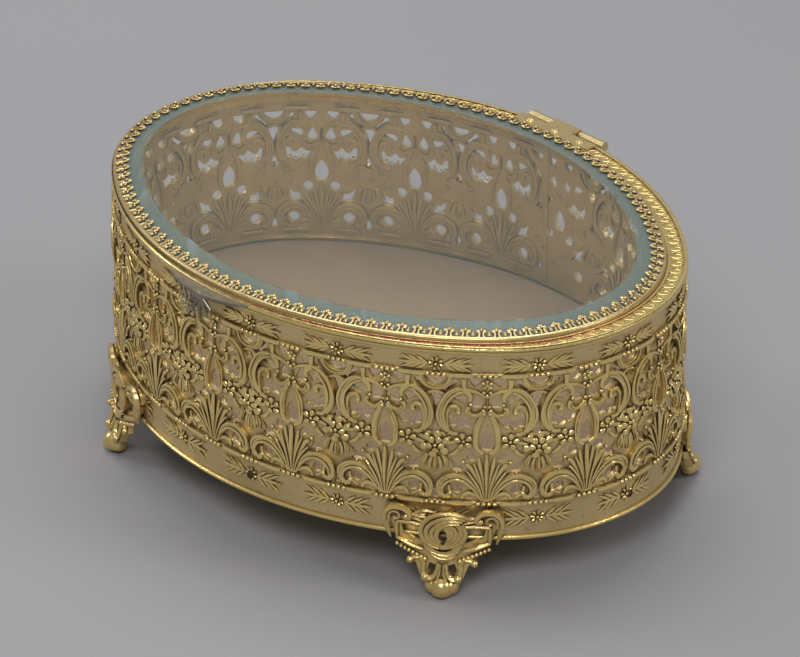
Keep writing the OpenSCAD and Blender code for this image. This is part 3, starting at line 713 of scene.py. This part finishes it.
shoulders = mirrored([
    [(14.2, 15.6, 0.25, 0.2), (15.0, 18.4, 0.7, 0.4), (15.5, 21.6, 0.95, 0.6),
     (14.6, 24.6, 1.0, 0.8), (12.0, 25.5, 1.0, 0.8), (9.6, 24.6, 0.95, 0.8),
     (8.9, 23.0, 0.9, 0.7), (9.9, 22.3, 0.9, 0.7)],
    [(14.4, 21.0, 0.35, 1.2), (14.3, 23.4, 0.45, 1.3), (12.6, 24.3, 0.45, 1.3),
     (11.6, 23.0, 0.45, 1.2), (12.6, 22.0, 0.4, 1.1), (13.3, 22.8, 0.4, 1.2)],
    [(5.6, 20.6, 0.6, 0.3), (9.0, 20.9, 0.65, 0.3), (12.4, 20.7, 0.6, 0.3)],
    [(12.5, 20.9, 0.6, 0.3), (12.5, 18.4, 0.65, 0.3), (12.3, 15.6, 0.5, 0.3)],
    [(12.6, 15.9, 0.5, 0.3), (9.0, 14.6, 0.8, 0.4), (5.4, 13.4, 0.6, 0.3)],
    [(8.4, 23.6, 0.5, 0.6), (6.2, 23.4, 0.65, 0.7), (4.2, 22.9, 0.5, 0.8)],
    [(8.2, 22.4, 0.4, 0.5), (6.6, 22.2, 0.5, 0.6), (5.2, 21.6, 0.4, 0.7)],
    [(1.0, 10.0, 0.6, 0.2), (1.3, 7.8, 0.7, 0.3), (2.6, 5.9, 0.8, 0.3), (4.4, 6.3, 0.8, 0.3),
     (4.9, 8.2, 0.7, 0.3), (5.0, 10.4, 0.7, 0.3), (6.9, 11.3, 0.7, 0.3), (8.4, 10.4, 0.8, 0.3)],
    [(0.5, 9.8, 0.35, 0.5), (0.6, 7.4, 0.4, 0.6), (1.2, 5.4, 0.4, 0.7)],
])
toe = mirrored([
    [(0.9, 5.6, 0.5, 0.4), (1.5, 3.7, 0.8, 0.9), (1.7, 1.9, 0.7, 0.2), (1.2, 0.95, 0.4, -1.2)],
    [(1.8, 5.4, 0.5, -0.2), (3.0, 3.8, 0.8, -0.4), (3.1, 2.2, 0.7, -0.9), (2.2, 1.0, 0.4, -1.9)],
]) + [[(0, 5.8, 0.5, 0.5), (0, 3.8, 0.8, 1.2), (0, 1.8, 0.7, 0.4), (0, 0.9, 0.4, -1.0)]]
cast = wires("cast_strands", strands + shoulders + toe, flat=1.0, steps=3)
print("foot strokes", len(strands + shoulders + toe))

# %% Beads of a foot, and the four feet
pearls = []
for side in (-1, 1):
    for step in range(8):
        part = step / 7
        pearls.append(again(bead, (side * (12.2 - 7.6 * part), -0.5, 14.2 - 3.3 * part), 0,
                            (0.55 + 0.2 * part,) * 3))
    pearls.append(again(bead, (side * 8.5, -0.5, 10.4), 0, (1.0, 1.0, 1.0)))
    pearls.append(again(bead, (side * 4.3, -0.6, 6.2), 0, (1.15, 1.1, 1.15)))
    pearls.append(again(bead, (side * 9.9, -1.0, 22.8), 0, (1.0, 0.9, 1.0)))
foot = join("foot_work", [cast] + pearls)
for name, face in FOOT_FACES.items():
    twin = again(foot, (0, 0, 0))
    twin.name = twin.data.name = name + "_casting"
    places = corners(twin)
    put_corners(twin, on_foot(face, places[:, 0], -places[:, 1], places[:, 2]))
    finish_piece(twin, "box", foot_gold)

# %% [markdown]
# ## The gallery of crowns
# Round the glass stands a strip cut into 109 little crowns: a flower of three lobes on two
# stems, with pearls between. The strip leans in over the glass. One crown is drawn flat,
# with Z as the way in over the glass, and bent round like a panel.

# %% One crown
CROWNS = 109
STEP = ROUND / CROWNS
crown_wires = wires("crown_wires", mirrored([
    [(0.85, 0.5, 0.36, 0.0), (0.62, 1.5, 0.32, 0.1), (0.45, 2.7, 0.36, 0.1)],
    [(-STEP / 2, 0.6, 0.42, 0.0), (-0.9, 0.6, 0.42, 0.0), (0, 0.6, 0.42, 0.0)],
]), flat=0.8, low=0.0, steps=2)
crown_parts = [crown_wires]
crown_parts += [again(petal, (0, -0.15, 3.05), turn, (0.95, 0.9, 0.84))
                for turn in (-1.2, 0, 1.2)]
crown_parts += [again(bead, (0, -0.6, 3.2), 0, (0.5, 0.45, 0.5)),
                again(bead, (STEP / 2, -0.3, 1.4), 0, (0.62, 0.6, 0.62)),
                again(bead, (STEP / 2, -0.2, 2.55), 0, (0.42, 0.42, 0.42))]
crown = join("crown", crown_parts)
print("crown triangles", sum(len(f.vertices) - 2 for f in crown.data.polygons))

# %% The ring of crowns
INSET, BAND, RISE, REACH = 1.9, 75.2, 2.2, 4.8


def on_lid(way, inward, lift):
    """A place on the leaning gallery: inward from its outer face, and lifted off it."""
    height = BAND + 1.0 + (RISE - 1.5) * np.clip(inward / REACH, 0, 1) + lift
    places = on_oval(way, -INSET - inward, height)
    return places + np.array([LID_SHIFT[0], LID_SHIFT[1], 0])


ring = []
for step in range(CROWNS):
    twin = again(crown, (0, 0, 0))
    places = corners(twin)
    put_corners(twin, on_lid((step + 0.5) * STEP + places[:, 0], places[:, 2], -places[:, 1]))
    ring.append(twin)
crowns = join("gallery_crowns", ring)
print("crowns", CROWNS, "pitch", round(STEP, 3))

# %% The plain band under the crowns
pick(crowns)
bpy.ops.mesh.primitive_circle_add(vertices=240, radius=1, fill_type="NOTHING")
band = bpy.context.object
band.name = "gallery_band"
bpy.ops.object.mode_set(mode="EDIT")
bpy.ops.mesh.select_all(action="SELECT")
for _ in range(7):
    bpy.ops.mesh.extrude_region_move()
bpy.ops.object.mode_set(mode="OBJECT")
BAND_PROFILE = [(0, 0.02), (-0.02, 0.85), (-0.25, 1.15), (-0.75, 1.35), (-1.0, 1.2), (-0.6, 0.9),
                (-0.45, 0.7), (-0.45, 0.02)]
way = np.arange(240) / 240 * ROUND
rings = [on_oval(way, -INSET + out, BAND + up) + np.array([*LID_SHIFT, 0])
         for out, up in BAND_PROFILE]
put_corners(band, np.concatenate(rings))
work = bmesh.new()
work.from_mesh(band.data)
work.verts.ensure_lookup_table()
for step in range(240):
    after = (step + 1) % 240
    work.faces.new([work.verts[step], work.verts[after], work.verts[7 * 240 + after],
                    work.verts[7 * 240 + step]])
bmesh.ops.recalc_face_normals(work, faces=work.faces)
work.to_mesh(band.data)
work.free()
gallery = join("gallery_crowns", [crowns, band])
finish_piece(gallery, "lid", crown_gold)
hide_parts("gallery")

# %% [markdown]
# ## The red gasket
# A thin red strip shows between the frame and the gallery, mostly at the right front,
# because it lies a little off to the right. Only the edge that can be seen is made: a
# ribbon, bent from a flat grid.

# %% The gasket's strip
STRIP_IN, STRIP_WIDE, STRIP_LIFT = 0.9, 1.5, 0.15
clear_selection()
bpy.ops.mesh.primitive_grid_add(x_subdivisions=240, y_subdivisions=2, size=1)
strip = bpy.context.object
strip.name = strip.data.name = "gasket_strip"
places = corners(strip)
wave = 0.08 * np.sin((places[:, 0] + 0.5) * 2 * math.pi * 23)
bent = on_oval((places[:, 0] + 0.5) * ROUND,
               -INSET - STRIP_IN + places[:, 1] * STRIP_WIDE + wave,
               np.full(len(places), FRAME_TOP + STRIP_LIFT))
aside = np.array([LID_SHIFT[0] + 1.1, LID_SHIFT[1] - 0.35, 0])
put_corners(strip, bent + aside)
pick(strip)
bpy.ops.object.mode_set(mode="EDIT")
bpy.ops.mesh.select_all(action="SELECT")
bpy.ops.mesh.remove_doubles(threshold=0.000001)
bpy.ops.object.mode_set(mode="OBJECT")
thicken = strip.modifiers.new("thick", "SOLIDIFY")
thicken.thickness, thicken.offset = 0.00028, 0.0
bpy.ops.object.modifier_apply(modifier=thicken.name)
finish_piece(strip, "lid", red)
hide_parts("gasket")

# %% [markdown]
# ## The engraved lid frame
# Outside the gallery the lid is a flat band with a border of small running scrolls between
# two fine ridges.

# %% Running scrolls and ridges on the frame
scroll_count = 112
along = ROUND / scroll_count
running = wires("running", [
    [(along * 0.30, 1.45, 0.10), (-along * 0.10, 1.58, 0.17), (-along * 0.38, 1.1, 0.19),
     (-along * 0.22, 0.6, 0.19), (along * 0.08, 0.62, 0.18), (along * 0.12, 1.0, 0.2)],
    [(along * 0.12, 0.45, 0.10), (along * 0.4, 0.62, 0.16), (along * 0.52, 1.15, 0.10)],
    [(along * 0.34, 1.2, 0.16), (along * 0.42, 1.35, 0.16)],
], flat=1.0, low=0.05, steps=2)


def on_frame(way, part, lift):
    """A place on the frame's top: part 0 at its outer edge and 2 by the gallery."""
    outer = on_oval(way, 1.0, FRAME_TOP + lift)
    inner = on_oval(way, -INSET, FRAME_TOP + lift) + np.array([*LID_SHIFT, 0])
    return outer + (inner - outer) * (np.asarray(part) / 2)[:, None]


made = []
for step in range(scroll_count):
    twin = again(running, (0, 0, 0))
    places = corners(twin)
    put_corners(twin, on_frame((step + 0.5) * along + places[:, 0], places[:, 2],
                               -places[:, 1]))
    made.append(twin)
ridges = wires("ridges", [[(-along / 2, 0.12, 0.22), (along / 2, 0.12, 0.22)],
                          [(-along / 2, 1.8, 0.16), (along / 2, 1.8, 0.16)]], flat=0.8, steps=2)
for step in range(scroll_count):
    twin = again(ridges, (0, 0, 0))
    places = corners(twin)
    put_corners(twin, on_frame((step + 0.5) * along + places[:, 0] * 1.02, places[:, 2],
                               -places[:, 1]))
    made.append(twin)
engraving = join("lid_scroll_border", made)
finish_piece(engraving, "lid", rim_gold)

# %% [markdown]
# ## The floor pad
# The floor is a thin fabric-covered pad. It is a crowned oval, softly rounded at its edge
# and a little uneven, so it is drawn as rings of a lathed profile round the oval.

# %% A crowned pad, as rings of one profile
bpy.ops.mesh.primitive_circle_add(vertices=144, radius=1, fill_type="TRIFAN")
pad = bpy.context.object
pad.name = pad.data.name = "floor_cushion"
PAD_PROFILE = [(-6.0, 19.65), (-3.2, 19.7), (-2.5, 20.6), (-2.4, 22.6), (-2.9, 24.4), (-4.6, 25.4),
               (-8.5, 25.9), (-16, 26.1), (-28, 26.15), (-42, 26.18)]
way = np.arange(144) / 144 * ROUND
work = bmesh.new()
rows = []
for out, up in PAD_PROFILE:
    wave = 0.12 * np.sin(way / ROUND * 2 * math.pi * 9) + 0.08 * np.sin(way / 7.3)
    lift = wave if up > 22 else 0 * wave
    rows.append([work.verts.new(p / 1000) for p in on_oval(way, out, up + lift * 0.5)])
for low, high in zip(rows, rows[1:]):
    for step in range(144):
        work.faces.new([low[step], low[(step + 1) % 144], high[(step + 1) % 144], high[step]])
work.faces.new(list(reversed(rows[0])))
top = work.verts.new((0, 0, 0.0262))
for step in range(144):
    work.faces.new([rows[-1][step], rows[-1][(step + 1) % 144], top])
bmesh.ops.recalc_face_normals(work, faces=work.faces)
work.to_mesh(pad.data)
work.free()
finish_piece(pad, "box", fabric, 80)
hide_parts("floor_pad")

# %% [markdown]
# ## The thumb tab
# A silvery crescent, worn bare, sits on the lid's front edge with a spray of leaves under
# it. The crescent's solid is right, so only the leaves are added.

# %% The spray under the tab
TAB_X, TAB_OUT, SPRAY_UP = -8.0, 71.1, 70.3
spray_parts = ring_of(leaf, (TAB_X, SPRAY_UP), 8, 0.7, (1.9, 1.5, 1.7), 0.2, tip=-0.12,
                      out=TAB_OUT)
spray_parts += ring_of(leaf, (TAB_X, SPRAY_UP), 5, 0.2, (1.3, 1.2, 0.9), 0.5, tip=-0.3,
                       out=TAB_OUT + 0.5)
spray_parts += [again(leaf, (TAB_X + along, -TAB_OUT, 71.6), lean, (1.5, 1.3, 1.4))
                for along, lean in ((-0.9, -0.35), (0.7, 0.15), (2.0, 0.6), (3.4, 1.1))]
tab_leaves = join("tab_leaves", spray_parts)
put_corners(tab_leaves, corners(tab_leaves))
finish_piece(tab_leaves, "lid", spray_gold)

# %% [markdown]
# ## Floor, backdrop and lamps
# The casket stands on a plain grey ground in soft light.

# %% The stage
clear_selection()
bpy.ops.mesh.primitive_plane_add(size=8, location=(0, 0, 0))
ground = bpy.context.object
ground.name = "ground"
grey = Finish("ground_grey", Roughness=0.9)
tone = grey.noise(3, 2.0).between(0.3, 0.7)
ground.data.materials.append(grey.set(Base_Color=grey.mix(
    tone, [0.325, 0.322, 0.335, 1], [0.345, 0.342, 0.355, 1])))


def lamp(name, place, aim, size, power, colour=(1, 1, 1)):
    bpy.ops.object.light_add(type="AREA", location=place)
    light = bpy.context.object
    light.name = name
    light.data.shape, light.data.size = "SQUARE", size
    light.data.energy, light.data.color = power, colour
    light.rotation_euler = (Vector(place) - Vector(aim)).to_track_quat("Z", "Y").to_euler()
    return light


lamp("top", (-0.35, 0.35, 1.55), (0, 0, 0.04), 1.1, 12)
lamp("front", (0.75, -0.90, 1.20), (0, 0, 0.04), 0.55, 9)
lamp("left", (-1.35, -0.55, 0.95), (0, 0, 0.04), 0.5, 5)
lamp("right", (1.35, 0.75, 1.0), (0, 0, 0.04), 0.5, 5)
world = bpy.data.worlds.new("room")
bpy.context.scene.world = world
world.use_nodes = True
world.node_tree.nodes["Background"].inputs["Color"].default_value = (0.27, 0.265, 0.265, 1)
world.node_tree.nodes["Background"].inputs["Strength"].default_value = 1.0
bpy.context.scene.view_settings.view_transform = "Standard"

# %% Clear away the templates
for template in (petal, leaf, bead, soft_scrolls, panel, foot, crown, running, ridges):
    bpy.data.objects.remove(template, do_unlink=True)
